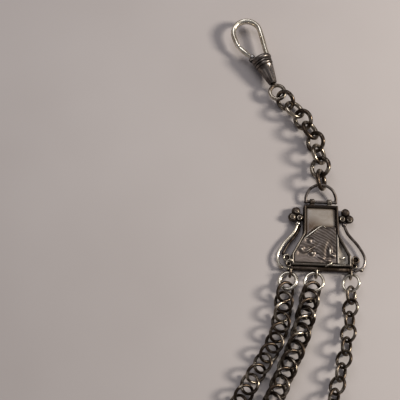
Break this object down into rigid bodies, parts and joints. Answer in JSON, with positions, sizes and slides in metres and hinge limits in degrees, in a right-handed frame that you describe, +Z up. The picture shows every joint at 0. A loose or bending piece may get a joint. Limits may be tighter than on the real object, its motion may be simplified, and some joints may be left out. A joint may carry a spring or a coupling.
{
  "type": "pocket watch chain",
  "caption": "Short vest chain for a pocket watch: swivel clasp, round-link chain, stone-set keystone plaque, linked strands, collector ring and T-bar.",
  "frame": {"origin": "middle of the keystone plaque's flat back face, on the surface that the chain lies on", "axes": "+Z up out of the plaque's face, +Y along the chain towards the swivel clasp, +X to the right"},
  "size_m": [0.0503, 0.1683, 0.0066],
  "materials": {
    "aged_silver": "aged silver with dark recesses",
    "worn_silver": "worn bright silver",
    "oxidised_silver": "oxidised silver",
    "spring_steel": "plain steel",
    "agate": "polished, cloudy grey with a brown stain"
  },
  "bodies": {
    "plaque": {"back_plate": "oxidised_silver", "bezel": "aged_silver", "stone_inlay": "agate", "cover_plate": "oxidised_silver", "wing_rail": "aged_silver", "wing_right": "aged_silver", "trefoil_left": "oxidised_silver", "trefoil_right": "oxidised_silver", "side_wire_left": "worn_silver", "side_wire_right": "worn_silver", "corner_curl_left": "aged_silver", "corner_curl_right": "aged_silver", "bottom_rail": "oxidised_silver", "bail_knuckle_left": "aged_silver", "bail_knuckle_right": "aged_silver", "strand_loop_left": "aged_silver", "strand_loop_middle": "aged_silver", "strand_loop_right": "aged_silver"},
    "bail": {"bail": "oxidised_silver"},
    "upper_link_1": {"upper_link_1": "aged_silver"},
    "upper_link_2": {"upper_link_2": "aged_silver"},
    "upper_link_3": {"upper_link_3": "aged_silver"},
    "upper_link_4": {"upper_link_4": "aged_silver"},
    "upper_link_5": {"upper_link_5": "aged_silver"},
    "upper_link_6": {"upper_link_6": "aged_silver"},
    "upper_link_7": {"upper_link_7": "aged_silver"},
    "upper_link_8": {"upper_link_8": "aged_silver"},
    "swivel_eye": {"swivel_eye": "aged_silver"},
    "swivel": {"swivel_barrel": "oxidised_silver", "swivel_bow": "aged_silver", "gate_rivet": "spring_steel", "gate_spring": "spring_steel"},
    "swivel_gate": {"swivel_gate": "worn_silver"},
    "left_ring": {"jump_ring_left": "worn_silver"},
    "left_run_1": {"left_links_1": "aged_silver"},
    "left_run_2": {"left_links_2": "aged_silver"},
    "left_run_3": {"left_links_3": "aged_silver"},
    "left_run_4": {"left_links_4": "aged_silver"},
    "left_tail_run": {"left_tail": "aged_silver"},
    "middle_ring": {"jump_ring_middle": "worn_silver"},
    "middle_run_1": {"middle_links_1": "aged_silver"},
    "middle_run_2": {"middle_links_2": "aged_silver"},
    "middle_run_3": {"middle_links_3": "aged_silver"},
    "middle_run_4": {"middle_links_4": "aged_silver"},
    "middle_tail_run": {"middle_tail": "aged_silver"},
    "right_ring": {"jump_ring_right": "worn_silver"},
    "right_run_1": {"right_links_1": "aged_silver"},
    "right_run_2": {"right_links_2": "aged_silver"},
    "right_run_3": {"right_links_3": "aged_silver"},
    "right_run_4": {"right_links_4": "aged_silver"},
    "right_tail_run": {"right_tail": "aged_silver"},
    "collector": {"collector_ring": "worn_silver"},
    "end_link_1": {"end_link_1": "aged_silver"},
    "end_link_2": {"end_link_2": "aged_silver"},
    "t_bar": {"t_bar": "worn_silver", "t_bar_eye": "aged_silver"}
  },
  "joints": [
    {"name": "gate_open", "type": "hinge", "parent": "swivel", "child": "swivel_gate", "pos_m": [-0.02155, 0.057, 0.0033], "axis": [0, 0, -1], "range_deg": [0, 30], "stiffness_Nm_per_rad": 0.0002},
    {"name": "swivel_spin", "type": "hinge", "parent": "swivel_eye", "child": "swivel", "pos_m": [-0.01345, 0.04566, 0.0033], "axis": [-0.4226, 0.9063, 0], "continuous": true},
    {"name": "bail_lift", "type": "hinge", "parent": "plaque", "child": "bail", "pos_m": [0, 0.01075, 0.0015], "axis": [1, 0, 0], "range_deg": [-5, 60]},
    {"name": "upper_lift_1", "type": "hinge", "parent": "bail", "child": "upper_link_1", "pos_m": [0, 0.01523, 0.00325], "axis": [0.9994, 0.0349, 0], "range_deg": [0, 14]},
    {"name": "upper_turn_1", "type": "hinge", "parent": "upper_link_1", "child": "upper_link_2", "pos_m": [-0.00014, 0.01937, 0.00325], "axis": [0, 0, -1], "range_deg": [-30, 30]},
    {"name": "upper_lift_2", "type": "hinge", "parent": "upper_link_2", "child": "upper_link_3", "pos_m": [-0.00036, 0.0235, 0.00325], "axis": [0.9877, 0.1564, 0], "range_deg": [0, 25]},
    {"name": "upper_turn_2", "type": "hinge", "parent": "upper_link_3", "child": "upper_link_4", "pos_m": [-0.00101, 0.02759, 0.00325], "axis": [0, 0, 1], "range_deg": [-30, 30]},
    {"name": "upper_lift_3", "type": "hinge", "parent": "upper_link_4", "child": "upper_link_5", "pos_m": [-0.00229, 0.03153, 0.00325], "axis": [0.8829, 0.4695, 0], "range_deg": [0, 25]},
    {"name": "upper_turn_3", "type": "hinge", "parent": "upper_link_5", "child": "upper_link_6", "pos_m": [-0.00423, 0.03518, 0.00325], "axis": [0, 0, -1], "range_deg": [-30, 30]},
    {"name": "upper_lift_4", "type": "hinge", "parent": "upper_link_6", "child": "upper_link_7", "pos_m": [-0.00672, 0.03849, 0.00325], "axis": [0.7431, 0.6691, 0], "range_deg": [0, 25]},
    {"name": "upper_turn_4", "type": "hinge", "parent": "upper_link_7", "child": "upper_link_8", "pos_m": [-0.00949, 0.04157, 0.00325], "axis": [0, 0, 1], "range_deg": [-30, 30]},
    {"name": "eye_lift", "type": "hinge", "parent": "upper_link_8", "child": "swivel_eye", "pos_m": [-0.01237, 0.04454, 0.0033], "axis": [0.7193, 0.6947, 0], "range_deg": [0, 25]},
    {"name": "middle_lift_1", "type": "hinge", "parent": "plaque", "child": "middle_ring", "pos_m": [-0.0017, -0.0123, 0.0022], "axis": [-1, 0, 0], "range_deg": [0, 16]},
    {"name": "left_lift_1", "type": "hinge", "parent": "plaque", "child": "left_ring", "pos_m": [-0.0094, -0.0123, 0.0022], "axis": [-1, 0, 0], "range_deg": [0, 16]},
    {"name": "right_lift_1", "type": "hinge", "parent": "plaque", "child": "right_ring", "pos_m": [0.0085, -0.0123, 0.0022], "axis": [-1, 0, 0], "range_deg": [0, 16]},
    {"name": "middle_lift_2", "type": "hinge", "parent": "middle_ring", "child": "middle_run_1", "pos_m": [-0.0029, -0.0159, 0.0022], "axis": [-1, 0, 0], "range_deg": [0, 16]},
    {"name": "left_lift_2", "type": "hinge", "parent": "left_ring", "child": "left_run_1", "pos_m": [-0.0106, -0.0159, 0.0022], "axis": [-1, 0, 0], "range_deg": [0, 16]},
    {"name": "right_lift_2", "type": "hinge", "parent": "right_ring", "child": "right_run_1", "pos_m": [0.0087, -0.0159, 0.0022], "axis": [-1, 0, 0], "range_deg": [0, 16]},
    {"name": "middle_lift_3", "type": "hinge", "parent": "middle_run_1", "child": "middle_run_2", "pos_m": [-0.0067, -0.0309, 0.0022], "axis": [-1, 0, 0], "range_deg": [0, 16]},
    {"name": "left_lift_3", "type": "hinge", "parent": "left_run_1", "child": "left_run_2", "pos_m": [-0.0132, -0.0309, 0.0022], "axis": [-1, 0, 0], "range_deg": [0, 16]},
    {"name": "right_lift_3", "type": "hinge", "parent": "right_run_1", "child": "right_run_2", "pos_m": [0.0072, -0.0309, 0.0022], "axis": [-1, 0, 0], "range_deg": [0, 16]},
    {"name": "middle_lift_4", "type": "hinge", "parent": "middle_run_2", "child": "middle_run_3", "pos_m": [-0.0129, -0.0459, 0.0022], "axis": [-1, 0, 0], "range_deg": [0, 16]},
    {"name": "left_lift_4", "type": "hinge", "parent": "left_run_2", "child": "left_run_3", "pos_m": [-0.0217, -0.0459, 0.0022], "axis": [-1, 0, 0], "range_deg": [0, 16]},
    {"name": "right_lift_4", "type": "hinge", "parent": "right_run_2", "child": "right_run_3", "pos_m": [0.0035, -0.0459, 0.0022], "axis": [-1, 0, 0], "range_deg": [0, 16]},
    {"name": "middle_lift_5", "type": "hinge", "parent": "middle_run_3", "child": "middle_run_4", "pos_m": [-0.0186, -0.0609, 0.0022], "axis": [-1, 0, 0], "range_deg": [0, 16]},
    {"name": "left_lift_5", "type": "hinge", "parent": "left_run_3", "child": "left_run_4", "pos_m": [-0.0285, -0.0609, 0.0022], "axis": [-1, 0, 0], "range_deg": [0, 16]},
    {"name": "right_lift_5", "type": "hinge", "parent": "right_run_3", "child": "right_run_4", "pos_m": [-0.0025, -0.0609, 0.0022], "axis": [-1, 0, 0], "range_deg": [0, 16]},
    {"name": "middle_lift_6", "type": "hinge", "parent": "middle_run_4", "child": "middle_tail_run", "pos_m": [-0.0225, -0.0759, 0.0022], "axis": [-1, 0, 0], "range_deg": [0, 16]},
    {"name": "left_lift_6", "type": "hinge", "parent": "left_run_4", "child": "left_tail_run", "pos_m": [-0.0295, -0.0759, 0.0022], "axis": [-1, 0, 0], "range_deg": [0, 16]},
    {"name": "right_lift_6", "type": "hinge", "parent": "right_run_4", "child": "right_tail_run", "pos_m": [-0.0149, -0.0759, 0.0022], "axis": [-1, 0, 0], "range_deg": [0, 16]},
    {"name": "collector_lift", "type": "hinge", "parent": "middle_tail_run", "child": "collector", "pos_m": [-0.0228, -0.07863, 0.0029], "axis": [-1, 0, 0], "range_deg": [0, 2.5]},
    {"name": "end_link_1_lift", "type": "hinge", "parent": "collector", "child": "end_link_1", "pos_m": [-0.0228, -0.08576, 0.0029], "axis": [-1, 0, 0], "range_deg": [0, 25]},
    {"name": "end_link_2_turn", "type": "hinge", "parent": "end_link_1", "child": "end_link_2", "pos_m": [-0.0228, -0.08891, 0.00235], "axis": [0, 0, 1], "range_deg": [-30, 30]},
    {"name": "t_bar_lift", "type": "hinge", "parent": "end_link_2", "child": "t_bar", "pos_m": [-0.0228, -0.09206, 0.00212], "axis": [-1, 0, 0], "range_deg": [0, 30]}
  ],
  "couplings": [
    {"joint": "left_lift_1", "follows": "middle_lift_1", "ratio": 1},
    {"joint": "right_lift_1", "follows": "middle_lift_1", "ratio": 1},
    {"joint": "left_lift_2", "follows": "middle_lift_2", "ratio": 1},
    {"joint": "right_lift_2", "follows": "middle_lift_2", "ratio": 1},
    {"joint": "left_lift_3", "follows": "middle_lift_3", "ratio": 1},
    {"joint": "right_lift_3", "follows": "middle_lift_3", "ratio": 1},
    {"joint": "left_lift_4", "follows": "middle_lift_4", "ratio": 1},
    {"joint": "right_lift_4", "follows": "middle_lift_4", "ratio": 1},
    {"joint": "left_lift_5", "follows": "middle_lift_5", "ratio": 1},
    {"joint": "right_lift_5", "follows": "middle_lift_5", "ratio": 1},
    {"joint": "left_lift_6", "follows": "middle_lift_6", "ratio": 1},
    {"joint": "right_lift_6", "follows": "middle_lift_6", "ratio": 1}
  ]
}
